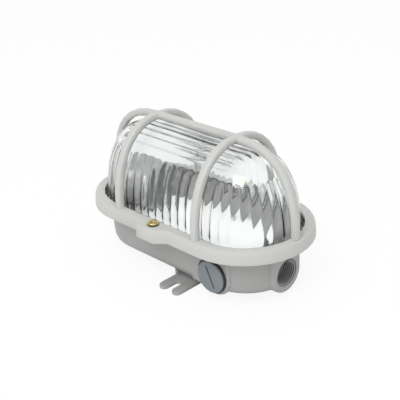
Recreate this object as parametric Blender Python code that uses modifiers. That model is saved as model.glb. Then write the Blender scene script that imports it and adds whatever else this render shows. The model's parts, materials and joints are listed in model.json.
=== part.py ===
"""An oval bulkhead light: a moulded base with an open screwed entry in its end and a plugged one in
its side, a pressed glass with ribs inside, and a guard that two brass screws hold over the glass.

Metres, +Z up. The origin lies on the mounting plane, under the middle of the oval. +X runs along
the oval to the open entry, and -Y is the long side with the plugged entry.
"""

import math

import bmesh
import bpy
from mathutils import Matrix, Vector

MM = 0.001

# Guard: a rim with a skirt, an ear in the middle of each long side, and bars over the glass.
GUARD_LENGTH = 175.0 * MM
GUARD_WIDTH = 90.6 * MM
GUARD_RIM_HEIGHT = 8.4 * MM
GUARD_TOP = 57.6 * MM
GUARD_WALL = 2.2 * MM
GUARD_PLATE = 2.0 * MM
GUARD_DRAFT = 0.6 * MM
GUARD_EDGE_ROUND = 1.6 * MM
OPENING_BORDER = 7.0 * MM
EAR_OUTREACH = 5.9 * MM
EAR_FRONT = 7.9 * MM
EAR_ROOT = 15.0 * MM
BAR_WIDTH = 5.6 * MM
BAR_DEPTH = 4.8 * MM
BAR_ROUND = 1.7 * MM
BAR_INSET = 0.3 * MM
ARCH_FROM_END = 51.5 * MM
ARCH_SQUARENESS = 2.3
END_SQUARENESS = 2.6
CROSSING_STEP = 0.2 * MM

# Base: a tray whose wall stands in from the rim, with a flange that the skirt covers.
FOOT_HEIGHT = 7.4 * MM
BASE_DEPTH = 27.5 * MM
BASE_INSET_ENDS = 11.7 * MM
BASE_INSET_SIDES = 12.0 * MM
BASE_WALL = 2.5 * MM
BASE_FLANGE = 2.6 * MM
BASE_DRAFT = 1.2 * MM
CORNER_HEIGHT = 7.0 * MM
CORNER_INSET = 4.0 * MM
SKIRT_CLEARANCE = 0.6 * MM

# The glass and its gasket, between the flange and the guard.
SEAT_GAP = 0.3 * MM
GASKET_THICKNESS = 1.5 * MM
GASKET_WIDTH = 5.0 * MM
GLASS_FLANGE = 2.5 * MM
GLASS_FLANGE_OVERLAP = 1.3 * MM
GLASS_WALL = 3.0 * MM
GLASS_GAP = 2.8 * MM
GLASS_RISE = 54.7 * MM
GLASS_SQUARENESS = 2.42
FLUTE_DEPTH = 0.9 * MM
FLUTES_ON_SIDE = 12
FLUTES_ON_END = 15
FLUTE_TOP = 0.70
CROWN_RIB_DEPTH = 0.7 * MM
CROWN_RIB_PITCH = 4.5 * MM
CROWN_RIBS = 4

# Screws that hold the guard, one in each ear, and the threaded inserts that take them.
SCREW_FROM_EAR_TIP = 8.4 * MM
GUARD_SCREW_RADIUS = 2.0 * MM
GUARD_SCREW_HEAD = 3.55 * MM
GUARD_SCREW_HEAD_HEIGHT = 1.6 * MM
SCREW_RECESS_DEPTH = 0.8 * MM
SCREW_RECESS_MARGIN = 0.8 * MM
SCREW_SEAL_THICKNESS = 0.6 * MM
PILLAR_WALL = 1.1 * MM
INSERT_RADIUS = 2.9 * MM
INSERT_LENGTH = 4.2 * MM
INSERT_BOSS_WALL = 1.8 * MM

# Cable entries, both at one height. The side entry is shut by a slotted plug on a seal.
ENTRY_HEIGHT = 17.4 * MM
ENTRY_BORE_RADIUS = 9.2 * MM
ENTRY_BOSS_RADIUS = 13.8 * MM
ENTRY_EDGE_ROUND = 2.2 * MM
ENTRY_MOUTH_CHAMFER = 0.8 * MM
END_BOSS_PROUD = 0.8 * MM
SIDE_SEAT_DEPTH = 0.6 * MM
SIDE_SEAT_LIP = 0.2 * MM
SIDE_SEAT_MARGIN = 0.6 * MM
ENTRY_BOSS_DEPTH = 13.0 * MM
ENTRY_FRONT_DEPTH = 5.0 * MM
ENTRY_TUBE_STEP = 0.6 * MM
CHEEK_REACH = 4.7 * MM
PLUG_HEAD_RADIUS = 11.0 * MM
PLUG_HEAD_THICKNESS = 1.3 * MM
PLUG_SHANK_LENGTH = 8.0 * MM
PLUG_SHANK_WALL = 1.8 * MM
PLUG_FLOOR = 3.0 * MM
PLUG_SLOT_LENGTH = 15.6 * MM
PLUG_SLOT_WIDTH = 1.5 * MM
PLUG_SLOT_DEPTH = 1.5 * MM
PLUG_SLOT_TILT = math.radians(25.0)
PLUG_SEAL_THICKNESS = 1.2 * MM
PLUG_SEAL_OVER_HEAD = 0.8 * MM
THREAD_GAP = 0.3 * MM

# Slotted feet for the fixing screws, and the pads that keep the base off the wall.
FORK_X = 13.0 * MM
FORK_HALF_WIDTH = 9.4 * MM
FORK_SLOT = 5.0 * MM
FORK_OUTREACH = 13.2 * MM
FORK_SLOT_OUTREACH = 1.0 * MM
FORK_ROOT_INSET = 11.3 * MM
FORK_THICKNESS = 2.2 * MM
FORK_WEB_INSET = 8.0 * MM
FORK_WEB_STEP = 0.3 * MM
FORK_GUSSET = 2.2 * MM
FORK_GUSSET_INSET = 3.0 * MM
PAD_FROM_END = 25.8 * MM
PAD_RADIUS = 4.5 * MM

# Lampholder, lying along the oval at the end away from the open entry.
HOLDER_HEIGHT = 44.0 * MM
HOLDER_FROM_GLASS_END = 13.7 * MM
HOLDER_LENGTH = 30.0 * MM
HOLDER_BACK_RADIUS = 18.5 * MM
HOLDER_BACK_LENGTH = 10.5 * MM
HOLDER_BARREL_RADIUS = 17.2 * MM
HOLDER_EDGE = 1.2 * MM
SOCKET_RADIUS = 14.7 * MM
SOCKET_FLOOR = 9.0 * MM
SHELL_THICKNESS = 0.6 * MM
SHELL_GAP = 0.4 * MM
SHELL_SETBACK = 1.5 * MM
WELL_DEPTH = 3.0 * MM
WELL_LENGTH = 17.0 * MM
LEAF_WIDTH = 5.0 * MM
LEAF_THICKNESS = 0.5 * MM
LEAF_RISE = 4.0 * MM
CONTACT_TRAVEL = 1.5 * MM
SIDE_CONTACT_HEIGHT = 5.0 * MM
SIDE_CONTACT_THICKNESS = 0.8 * MM
TERMINAL_X = 5.6 * MM
TERMINAL_Y = 7.5 * MM
TERMINAL_Z = 8.4 * MM
TERMINAL_INNER = 9.8 * MM
WIRE_HOLE_RADIUS = 1.3 * MM

# Oval white reflector plate under the lamp, notched round the lampholder, on two posts of its own.
REFLECTOR_INSET_ENDS = 20.3 * MM
REFLECTOR_INSET_SIDES = 8.8 * MM
REFLECTOR_SQUARENESS = 3.2
REFLECTOR_UNDER_FLANGE = 6.9 * MM
REFLECTOR_THICKNESS = 0.8 * MM
REFLECTOR_NOTCH_GAP = 1.2 * MM
REFLECTOR_POST_X = 17.0 * MM
REFLECTOR_POST_INSET = 13.3 * MM

# Sheet bracket under the lampholder, on two posts, and the earth terminal on a third.
BRACKET_THICKNESS = 1.2 * MM
BRACKET_HALF_WIDTH = 9.0 * MM
BRACKET_BEND = 2.0 * MM
BRACKET_FOOT_LENGTH = 15.0 * MM
BRACKET_EAR_BEYOND_POST = 3.8 * MM
BRACKET_EAR_HALF_WIDTH = 3.6 * MM
BRACKET_EAR_FROM_BACK = 9.0 * MM
BRACKET_UNDER_HOLDER = 3.8 * MM
POST_RADIUS = 4.0 * MM
BRACKET_POST_INSET = 12.3 * MM
HOLDER_SCREW_SPACING = 20.0 * MM
HOLDER_SCREW_DEPTH = 5.0 * MM
EARTH_X = 8.0 * MM
EARTH_INSET = 17.3 * MM
EARTH_POST_HEIGHT = 7.0 * MM
EARTH_PLATE = 8.0 * MM
EARTH_PLATE_THICKNESS = 1.5 * MM
SMALL_SCREW_RADIUS = 1.6 * MM
SMALL_SCREW_HEAD = 2.9 * MM
SMALL_SCREW_HEAD_HEIGHT = 1.8 * MM
SMALL_SCREW_LENGTH = 7.0 * MM
TERMINAL_SCREW_LENGTH = 4.5 * MM
SLOT_WIDTH = 1.0 * MM
SLOT_DEPTH = 0.8 * MM

# How finely round shapes are cut.
END_STEPS = 18
ROUND_STEPS = 32
SEAT_STEPS = 44
SMALL_STEPS = 12
ARCH_STEPS = 9

# Heights that follow from the stack of pieces.
BASE_FLOOR = FOOT_HEIGHT + BASE_WALL
FLANGE_BOTTOM = FOOT_HEIGHT + BASE_DEPTH
FLANGE_TOP = FLANGE_BOTTOM + BASE_FLANGE
GASKET_BOTTOM = FLANGE_TOP + SEAT_GAP
GLASS_BOTTOM = GASKET_BOTTOM + GASKET_THICKNESS + SEAT_GAP
GLASS_FLANGE_TOP = GLASS_BOTTOM + GLASS_FLANGE
PLATE_BOTTOM = GLASS_FLANGE_TOP + SEAT_GAP
RIM_TOP = PLATE_BOTTOM + GUARD_PLATE
RIM_BOTTOM = RIM_TOP - GUARD_RIM_HEIGHT
REFLECTOR_HEIGHT = FLANGE_BOTTOM - REFLECTOR_UNDER_FLANGE
BRACKET_TOP = HOLDER_HEIGHT - HOLDER_BACK_RADIUS - BRACKET_UNDER_HOLDER
POST_HEIGHT = BRACKET_TOP - BRACKET_THICKNESS - SEAT_GAP - BASE_FLOOR

# Plan sizes that follow from the guard.
EAR_REACH = GUARD_WIDTH / 2 + EAR_OUTREACH
GUARD_SCREW_Y = EAR_REACH - SCREW_FROM_EAR_TIP
ARCH_X = GUARD_LENGTH / 2 - ARCH_FROM_END
BASE_LENGTH = GUARD_LENGTH - 2 * BASE_INSET_ENDS
BASE_WIDTH = GUARD_WIDTH - 2 * BASE_INSET_SIDES
OPENING_LENGTH = GUARD_LENGTH - 2 * OPENING_BORDER
OPENING_WIDTH = GUARD_WIDTH - 2 * OPENING_BORDER - 2 * GUARD_DRAFT
GLASS_LENGTH = OPENING_LENGTH - 2 * GLASS_GAP
GLASS_WIDTH = OPENING_WIDTH - 2 * GLASS_GAP
HOLDER_BACK = -GLASS_LENGTH / 2 + HOLDER_FROM_GLASS_END
BRACKET_EAR_X = HOLDER_BACK + BRACKET_EAR_FROM_BACK

# Places that follow from the base.
ENTRY_SIDE_X = (BASE_LENGTH - BASE_WIDTH) / 2
FORK_REACH = BASE_WIDTH / 2 + FORK_OUTREACH
FORK_SLOT_END = BASE_WIDTH / 2 + FORK_SLOT_OUTREACH
FORK_ROOT = BASE_WIDTH / 2 - FORK_ROOT_INSET
FORK_WEB_FRONT = BASE_WIDTH / 2 - FORK_WEB_INSET
FORK_GUSSET_FRONT = BASE_WIDTH / 2 - FORK_GUSSET_INSET
PAD_X = BASE_LENGTH / 2 - PAD_FROM_END
REFLECTOR_HALF_LENGTH = BASE_LENGTH / 2 - REFLECTOR_INSET_ENDS
REFLECTOR_HALF_WIDTH = BASE_WIDTH / 2 - REFLECTOR_INSET_SIDES
REFLECTOR_POST_Y = BASE_WIDTH / 2 - REFLECTOR_POST_INSET
BRACKET_POST_Y = BASE_WIDTH / 2 - BRACKET_POST_INSET
BRACKET_EAR_HALF_SPAN = BRACKET_POST_Y + BRACKET_EAR_BEYOND_POST
EARTH_Y = BASE_WIDTH / 2 - EARTH_INSET
SIDE_SEAT_Y = -BASE_WIDTH / 2 + SIDE_SEAT_DEPTH
PLUG_SEAL_RADIUS = PLUG_HEAD_RADIUS + PLUG_SEAL_OVER_HEAD


def clear_scene():
    for old in list(bpy.data.objects):
        bpy.data.objects.remove(old, do_unlink=True)
    for old in list(bpy.data.collections):
        bpy.data.collections.remove(old)


def new_collection(name):
    made = bpy.data.collections.new(name)
    bpy.context.scene.collection.children.link(made)
    return made


clear_scene()
PARTS = new_collection("bulkhead_light")
HELPERS = new_collection("helpers")


def material(name, colour, roughness, metallic=0.0, transmission=0.0):
    made = bpy.data.materials.new(name)
    made.use_nodes = True
    shader = made.node_tree.nodes["Principled BSDF"]
    shader.inputs["Base Color"].default_value = (*colour, 1.0)
    shader.inputs["Roughness"].default_value = roughness
    shader.inputs["Metallic"].default_value = metallic
    shader.inputs["Transmission Weight"].default_value = transmission
    made.diffuse_color = (*colour, 1.0)
    return made


def base_plastic(name):
    return material(name, (0.36, 0.36, 0.35), 0.5)


def guard_plastic(name):
    return material(name, (0.55, 0.555, 0.535), 0.45)


def clear_glass(name):
    return material(name, (0.93, 0.95, 0.95), 0.03, transmission=1.0)


def black_rubber(name):
    return material(name, (0.025, 0.025, 0.027), 0.8)


def brass(name):
    return material(name, (0.66, 0.56, 0.26), 0.3, metallic=1.0)


def plug_plastic(name):
    return material(name, (0.20, 0.22, 0.235), 0.4)


def porcelain(name):
    return material(name, (0.33, 0.33, 0.325), 0.2)


def white_enamel(name):
    return material(name, (0.90, 0.90, 0.88), 0.35)


def plated_steel(name):
    return material(name, (0.66, 0.67, 0.68), 0.35, metallic=1.0)


def link(name, mesh, finish, smooth_angle=35.0):
    """Makes a part of the light from a mesh, with a material of its own."""
    made = bpy.data.objects.new(name, mesh)
    PARTS.objects.link(made)
    mesh.materials.append(finish(name + "_finish"))
    mesh.shade_smooth()
    mesh.set_sharp_from_angle(angle=math.radians(smooth_angle))
    return made


def helper(name, mesh):
    """Makes a shape that is only cut from a part or joined to it."""
    made = bpy.data.objects.new(name, mesh)
    HELPERS.objects.link(made)
    made.hide_render = True
    made.display_type = "WIRE"
    return made


def combine(target, operation, tool):
    step = target.modifiers.new(tool.name, "BOOLEAN")
    step.operation = operation
    step.solver = "EXACT"
    step.object = tool


def cut(target, tool):
    combine(target, "DIFFERENCE", tool)


def join(target, tool):
    combine(target, "UNION", tool)


def mesh_of(name, shape):
    bmesh.ops.recalc_face_normals(shape, faces=shape.faces)
    mesh = bpy.data.meshes.new(name)
    shape.to_mesh(mesh)
    shape.free()
    return mesh


def along(axis):
    """The turn that takes +Z to the given direction."""
    return Vector((0, 0, 1)).rotation_difference(Vector(axis)).to_matrix().to_4x4()


def rod_mesh(name, radius, start, axis, length, steps=ROUND_STEPS, tip_radius=None):
    """A cylinder, or a cone, from a start point along an axis."""
    shape = bmesh.new()
    place = Matrix.Translation(start) @ along(axis) @ Matrix.Translation((0, 0, length / 2))
    bmesh.ops.create_cone(
        shape,
        cap_ends=True,
        segments=steps,
        radius1=radius,
        radius2=radius if tip_radius is None else tip_radius,
        depth=length,
        matrix=place,
    )
    return mesh_of(name, shape)


def box_mesh(name, low, high):
    shape = bmesh.new()
    low, high = Vector(low), Vector(high)
    place = Matrix.Translation((low + high) / 2) @ Matrix.Diagonal((*(high - low), 1.0))
    bmesh.ops.create_cube(shape, size=1.0, matrix=place)
    return mesh_of(name, shape)


def turned(name, profile, finish, steps=ROUND_STEPS, closed=False):
    """Turns a profile of (radius, height) points about Z, its outer side running top to bottom."""
    shape = bmesh.new()
    points = [shape.verts.new((radius, 0, height)) for radius, height in profile]
    for one, two in zip(points, points[1:]):
        shape.edges.new((one, two))
    if closed:
        shape.edges.new((points[-1], points[0]))
    mesh = bpy.data.meshes.new(name)
    shape.to_mesh(mesh)
    shape.free()
    made = link(name, mesh, finish)
    screw = made.modifiers.new("turn", "SCREW")
    screw.steps = steps
    screw.render_steps = steps
    screw.use_merge_vertices = True
    screw.merge_threshold = 0.00002
    screw.use_smooth_shade = False
    return made


def plate_mesh(name, outline, low, high):
    """A flat outline in X and Y, made solid between two heights."""
    curve = bpy.data.curves.new(name, "CURVE")
    curve.dimensions = "2D"
    curve.fill_mode = "BOTH"
    curve.extrude = (high - low) / 2
    line = curve.splines.new("POLY")
    line.points.add(len(outline) - 1)
    for point, (x, y) in zip(line.points, outline):
        point.co = (x, y, 0, 1)
    line.use_cyclic_u = True
    return mesh_from_curve(name, curve, (0, 0, (low + high) / 2))


def mesh_from_curve(name, curve, place=(0, 0, 0)):
    guide = bpy.data.objects.new(name + "_guide", curve)
    HELPERS.objects.link(guide)
    graph = bpy.context.evaluated_depsgraph_get()
    mesh = bpy.data.meshes.new_from_object(guide.evaluated_get(graph))
    bpy.data.objects.remove(guide, do_unlink=True)
    shape = bmesh.new()
    shape.from_mesh(mesh)
    bpy.data.meshes.remove(mesh)
    bmesh.ops.remove_doubles(shape, verts=shape.verts, dist=0.00001)
    bmesh.ops.translate(shape, verts=shape.verts, vec=place)
    return mesh_of(name, shape)


def arc(centre, radius, start, end, steps):
    """Points on an arc in a plane, between two angles in degrees."""
    points = []
    for step in range(steps + 1):
        angle = math.radians(start + (end - start) * step / steps)
        points.append((centre[0] + radius * math.cos(angle), centre[1] + radius * math.sin(angle)))
    return points


def oval(length, width, height, ear_inset=None, grow=0.0):
    """One level of an oval with round ends, as half of it and the same half turned round.

    With an ear inset, each long side carries an ear whose outline lies that far inside the
    guard's. Without one, the ear's points lie on the straight side, so that levels match.
    """
    half_width = width / 2 + grow
    centre = (length - width) / 2
    if ear_inset is None:
        reach, front, root = half_width, EAR_FRONT, EAR_ROOT
    else:
        reach = EAR_REACH - ear_inset
        slope = math.atan2(EAR_REACH - GUARD_WIDTH / 2, EAR_ROOT - EAR_FRONT)
        front = EAR_FRONT - ear_inset * math.tan(slope / 2)
        root = EAR_ROOT - ear_inset * math.tan(slope / 2)
    half = [(front, -reach), (root, -half_width)]
    half += arc((centre, 0), half_width, -90, 90, END_STEPS)
    half += [(root, half_width), (front, reach)]
    points = half + [(-x, -y) for x, y in half]
    return [(x, y, height) for x, y in points]


def loft_mesh(name, levels, ring=False):
    """A skin through levels of equally many points. A ring joins the last level to the first."""
    shape = bmesh.new()
    rows = [[shape.verts.new(point) for point in level] for level in levels]
    pairs = list(zip(rows, rows[1:]))
    if ring:
        pairs.append((rows[-1], rows[0]))
    else:
        shape.faces.new(rows[0])
        shape.faces.new(rows[-1])
    for low, high in pairs:
        for here in range(len(low)):
            after = (here + 1) % len(low)
            shape.faces.new((low[here], low[after], high[after], high[here]))
    return mesh_of(name, shape)


def superellipse(reach, rise, power, steps):
    """Points from (reach, 0) up to (0, rise) on a curve squarer than an ellipse."""
    points = []
    for step in range(steps + 1):
        angle = math.pi / 2 * step / steps
        across = reach * math.cos(angle) ** (2 / power) if step < steps else 0.0
        points.append((across, rise * math.sin(angle) ** (2 / power)))
    return points


def bar_mesh(name, path):
    """A bar of rounded section along a path, as a curve with that section as its bevel."""
    section = bpy.data.curves.new(name + "_section", "CURVE")
    section.dimensions = "2D"
    half_width = BAR_WIDTH / 2 - BAR_ROUND
    half_depth = BAR_DEPTH / 2 - BAR_ROUND
    outline = []
    for turn, (sx, sy) in enumerate(((1, 1), (-1, 1), (-1, -1), (1, -1))):
        corner = (sx * half_width, sy * half_depth)
        outline += arc(corner, BAR_ROUND, 90 * turn, 90 * turn + 90, 2)
    line = section.splines.new("POLY")
    line.points.add(len(outline) - 1)
    for point, (x, y) in zip(line.points, outline):
        point.co = (x, y, 0, 1)
    line.use_cyclic_u = True
    section_object = bpy.data.objects.new(name + "_section", section)
    HELPERS.objects.link(section_object)

    curve = bpy.data.curves.new(name, "CURVE")
    curve.dimensions = "3D"
    curve.twist_mode = "Z_UP"
    curve.bevel_mode = "OBJECT"
    curve.bevel_object = section_object
    curve.use_fill_caps = True
    line = curve.splines.new("POLY")
    line.points.add(len(path) - 1)
    for point, place in zip(line.points, path):
        point.co = (*place, 1)
    mesh = mesh_from_curve(name, curve)
    bpy.data.objects.remove(section_object, do_unlink=True)
    return mesh


def arch_path():
    """The bar over the glass from one long side to the other, as (y, z) points."""
    reach = GUARD_WIDTH / 2 - OPENING_BORDER - GUARD_DRAFT + BAR_INSET + BAR_DEPTH / 2
    rise = GUARD_TOP - BAR_DEPTH / 2
    quarter = [(y, RIM_TOP + z) for y, z in superellipse(reach, rise, ARCH_SQUARENESS, ARCH_STEPS)]
    side = [(reach, RIM_TOP - GUARD_PLATE / 2)] + quarter[:-1]
    return [(-y, z) for y, z in side] + [quarter[-1]] + side[::-1]


def spine_path():
    """The bar along the top, from one end of the oval to the other, as (x, z) points."""
    foot = OPENING_LENGTH / 2 + BAR_INSET + BAR_DEPTH / 2
    rise = GUARD_TOP - CROSSING_STEP - BAR_DEPTH / 2
    quarter = superellipse(foot - ARCH_X, rise, END_SQUARENESS, ARCH_STEPS)
    side = [(foot, RIM_TOP - GUARD_PLATE / 2)] + [(ARCH_X + x, RIM_TOP + z) for x, z in quarter]
    return [(-x, z) for x, z in side] + side[::-1]


def guard_cage():
    skirt = GUARD_WALL
    bevel = GUARD_EDGE_ROUND
    levels = [
        oval(GUARD_LENGTH, GUARD_WIDTH, RIM_BOTTOM, 0.0),
        oval(GUARD_LENGTH, GUARD_WIDTH, RIM_TOP - bevel, GUARD_DRAFT, -GUARD_DRAFT),
    ]
    for angle in (45, 90):
        inset = GUARD_DRAFT + bevel * (1 - math.cos(math.radians(angle)))
        height = RIM_TOP - bevel * (1 - math.sin(math.radians(angle)))
        levels.append(oval(GUARD_LENGTH, GUARD_WIDTH, height, inset, -inset))
    levels += [
        oval(OPENING_LENGTH, OPENING_WIDTH, RIM_TOP),
        oval(OPENING_LENGTH, OPENING_WIDTH, PLATE_BOTTOM),
        oval(GUARD_LENGTH, GUARD_WIDTH, PLATE_BOTTOM, skirt + GUARD_DRAFT, -skirt - GUARD_DRAFT),
        oval(GUARD_LENGTH, GUARD_WIDTH, RIM_BOTTOM, skirt, -skirt),
    ]
    guard = link("guard_cage", loft_mesh("guard_cage", levels, ring=True), guard_plastic)
    for side in (-1, 1):
        path = [(side * ARCH_X, y, z) for y, z in arch_path()]
        join(guard, helper(f"arch_{side}", bar_mesh("arch", path)))
    spine = [(x, 0, z) for x, z in spine_path()]
    join(guard, helper("spine", bar_mesh("spine", spine)))
    hole = GUARD_SCREW_RADIUS + THREAD_GAP
    for side in (-1, 1):
        foot = (0, side * GUARD_SCREW_Y, FLANGE_TOP + SEAT_GAP)
        height = RIM_TOP - GUARD_PLATE / 2 - foot[2]
        pillar = rod_mesh("pillar", hole + PILLAR_WALL, foot, (0, 0, 1), height, 20)
        join(guard, helper(f"pillar_{side}", pillar))
        bottom = (0, side * GUARD_SCREW_Y, RIM_BOTTOM)
        drill = rod_mesh("drill", hole, bottom, (0, 0, 1), 2 * GUARD_RIM_HEIGHT, 20)
        cut(guard, helper(f"guard_drill_{side}", drill))
        seat = (0, side * GUARD_SCREW_Y, RIM_TOP - SCREW_RECESS_DEPTH)
        radius = GUARD_SCREW_HEAD + SCREW_RECESS_MARGIN
        recess = rod_mesh("recess", radius, seat, (0, 0, 1), GUARD_RIM_HEIGHT, 24)
        cut(guard, helper(f"recess_{side}", recess))


def fluted_level(grow, rise_share, flute, height, rib=0.0):
    """One level inside the glass. Every second point stands in by the flute's depth, and the
    whole level by the rib's, which fades out round the ends."""
    half_width = max(GLASS_WIDTH / 2 * rise_share + grow, 0.5 * MM)
    centre = (GLASS_LENGTH - GLASS_WIDTH) / 2
    half = []
    for step in range(2 * FLUTES_ON_SIDE):
        half.append((centre * (step / FLUTES_ON_SIDE - 1), -half_width, 0.0))
    half += [(x, y, 1.0) for x, y in arc((centre, 0), half_width, -90, 90, 2 * FLUTES_ON_END)[:-1]]
    points = half + [(-x, -y, share) for x, y, share in half]
    level = []
    for number, (x, y, on_end) in enumerate(points):
        inwards = flute * (number % 2)
        fade = 1.0 - on_end * min(abs(abs(x) - centre) / (12 * MM), 1.0)
        if inwards:
            out = Vector((x - math.copysign(min(abs(x), centre), x), y, 0)).normalized()
            x, y = x - out.x * inwards, y - out.y * inwards
        level.append((x, y, height - rib * fade))
    return level


def glass_globe():
    def outside(angle):
        share = math.cos(angle) ** (2 / GLASS_SQUARENESS)
        height = GLASS_BOTTOM + GLASS_RISE * math.sin(angle) ** (2 / GLASS_SQUARENESS)
        return share, height

    def inside(angle):
        share = math.cos(angle) ** (2 / GLASS_SQUARENESS)
        rise = GLASS_RISE - GLASS_WALL
        height = GLASS_BOTTOM + rise * math.sin(angle) ** (2 / GLASS_SQUARENESS)
        return share, height

    flange = GLASS_GAP + GLASS_FLANGE_OVERLAP
    levels = []
    for angle in (82, 68, 54, 40, 28, 16):
        share, height = outside(math.radians(angle))
        levels.append(fluted_level(0.0, share, 0.0, height))
    levels.append(fluted_level(0.0, 1.0, 0.0, GLASS_FLANGE_TOP))
    levels.append(fluted_level(flange, 1.0, 0.0, GLASS_FLANGE_TOP))
    levels.append(fluted_level(flange, 1.0, 0.0, GLASS_BOTTOM))
    inner_width = (GLASS_WIDTH / 2 - GLASS_WALL) / (GLASS_WIDTH / 2)
    for angle, depth in ((0, 1.0), (14, 1.0), (26, 1.0), (36, 1.0), (44, 0.8)):
        share, height = inside(math.radians(angle))
        levels.append(fluted_level(0.0, share * inner_width, FLUTE_DEPTH * depth, height))
    share, height = inside(math.acos(FLUTE_TOP ** (GLASS_SQUARENESS / 2)))
    levels.append(fluted_level(0.0, share * inner_width, 0.0, height))
    for step in range(2 * CROWN_RIBS, 0, -1):
        across = CROWN_RIB_PITCH * (step - 0.5) / 2
        share = across / (GLASS_WIDTH / 2 - GLASS_WALL)
        lift = (1 - share**GLASS_SQUARENESS) ** (1 / GLASS_SQUARENESS)
        height = GLASS_BOTTOM + (GLASS_RISE - GLASS_WALL) * lift
        rib = CROWN_RIB_DEPTH * (step % 2)
        levels.append(fluted_level(0.0, share * inner_width, 0.0, height, rib))
    link("glass_globe", loft_mesh("glass_globe", levels), clear_glass, 60.0)


def globe_gasket():
    grow = GLASS_GAP + GLASS_FLANGE_OVERLAP
    outer = oval(GLASS_LENGTH, GLASS_WIDTH, 0.0, grow=grow)
    inner = oval(GLASS_LENGTH, GLASS_WIDTH, 0.0, grow=grow - GASKET_WIDTH)
    levels = []
    for level, height in ((outer, 1), (outer, 0), (inner, 0), (inner, 1)):
        z = GASKET_BOTTOM + GASKET_THICKNESS * height
        levels.append([(x, y, z) for x, y, _ in level])
    link("globe_gasket", loft_mesh("globe_gasket", levels, ring=True), black_rubber)


def entry_boss(name, start, axis, lip=0.0):
    """A bore's boss, round below and straight-sided up to the flange, its tube and its cutters.

    The boss's face may stand over the start by a lip.
    """
    start, axis = Vector(start), Vector(axis)
    across, up = Vector((0, 0, 1)).cross(axis), Vector((0, 0, 1))
    top = FLANGE_BOTTOM + BASE_FLANGE / 2 - start.z
    rows = [(ENTRY_BOSS_RADIUS, -ENTRY_FRONT_DEPTH)]
    for angle in (0, 30, 60, 90):
        inset = ENTRY_EDGE_ROUND * (1 - math.cos(math.radians(angle)))
        rise = ENTRY_EDGE_ROUND * math.sin(math.radians(angle))
        rows.append((ENTRY_BOSS_RADIUS - inset, lip - ENTRY_EDGE_ROUND + rise))
    shape = bmesh.new()
    loops = []
    for radius, height in rows:
        outline = arc((0, 0), radius, 180, 360, ROUND_STEPS // 2) + [(radius, top), (-radius, top)]
        middle = start + axis * height
        loops.append([shape.verts.new(middle + across * x + up * z) for x, z in outline])
    count = len(loops[0])
    for low, high in zip(loops, loops[1:]):
        for here in range(count):
            after = (here + 1) % count
            shape.faces.new((low[here], low[after], high[after], high[here]))
    shape.faces.new(loops[0])
    shape.faces.new(loops[-1])
    boss = helper(name, mesh_of(name, shape))
    radius = ENTRY_BOSS_RADIUS - ENTRY_TUBE_STEP
    depth = ENTRY_BOSS_DEPTH - ENTRY_FRONT_DEPTH / 2
    tube = rod_mesh("tube", radius, start - axis * ENTRY_BOSS_DEPTH, axis, depth)
    join(boss, helper(name + "_tube", tube))
    reach = ENTRY_BOSS_DEPTH + 1 * MM
    mouth = start + axis * 1 * MM
    bore = rod_mesh("bore", ENTRY_BORE_RADIUS, mouth, -axis, reach + 1 * MM)
    chamfer_start = start - axis * ENTRY_MOUTH_CHAMFER
    chamfer = rod_mesh(
        "chamfer",
        ENTRY_BORE_RADIUS,
        chamfer_start,
        axis,
        2 * ENTRY_MOUTH_CHAMFER,
        tip_radius=ENTRY_BORE_RADIUS + 2 * ENTRY_MOUTH_CHAMFER,
    )
    return boss, [helper(name + "_bore", bore), helper(name + "_chamfer", chamfer)]


def fork_outline():
    """The slotted foot on the front side, as x and y."""
    tine = (FORK_HALF_WIDTH - FORK_SLOT / 2) / 2
    offset = FORK_SLOT / 2 + tine
    tip = -FORK_REACH + tine
    root = -FORK_ROOT - FORK_WEB_STEP
    points = [(FORK_X - FORK_HALF_WIDTH, root)]
    points += arc((FORK_X - offset, tip), tine, 180, 360, 8)
    points += arc((FORK_X, -FORK_SLOT_END - FORK_SLOT / 2), FORK_SLOT / 2, 180, 0, 8)
    points += arc((FORK_X + offset, tip), tine, 180, 360, 8)
    points += [(FORK_X + FORK_HALF_WIDTH, root)]
    return points


def fork(base, side):
    """One slotted foot, its web under the base and the gusset at the web's one end."""
    turn = Matrix.Rotation(0.0 if side < 0 else math.pi, 4, "Z")
    top = FOOT_HEIGHT + BASE_WALL * 0.8
    left = FORK_X - FORK_HALF_WIDTH + FORK_WEB_STEP
    right = FORK_X + FORK_HALF_WIDTH - FORK_WEB_STEP
    back = -FORK_ROOT
    foot = plate_mesh("foot", fork_outline(), 0.0, FORK_THICKNESS)
    web = box_mesh("web", (left, -FORK_WEB_FRONT, FORK_THICKNESS / 2), (right, back, top))
    low = (left + FORK_WEB_STEP, -FORK_GUSSET_FRONT, FORK_THICKNESS / 2 + FORK_WEB_STEP)
    high = (left + FORK_GUSSET, back - FORK_WEB_STEP, top - FORK_WEB_STEP)
    gusset = box_mesh("gusset", low, high)
    for mesh in (foot, web, gusset):
        mesh.transform(turn)
    web_helper = helper(f"web_{side}", web)
    join(web_helper, helper(f"gusset_{side}", gusset))
    join(base, web_helper)
    join(base, helper(f"foot_{side}", foot))


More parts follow.
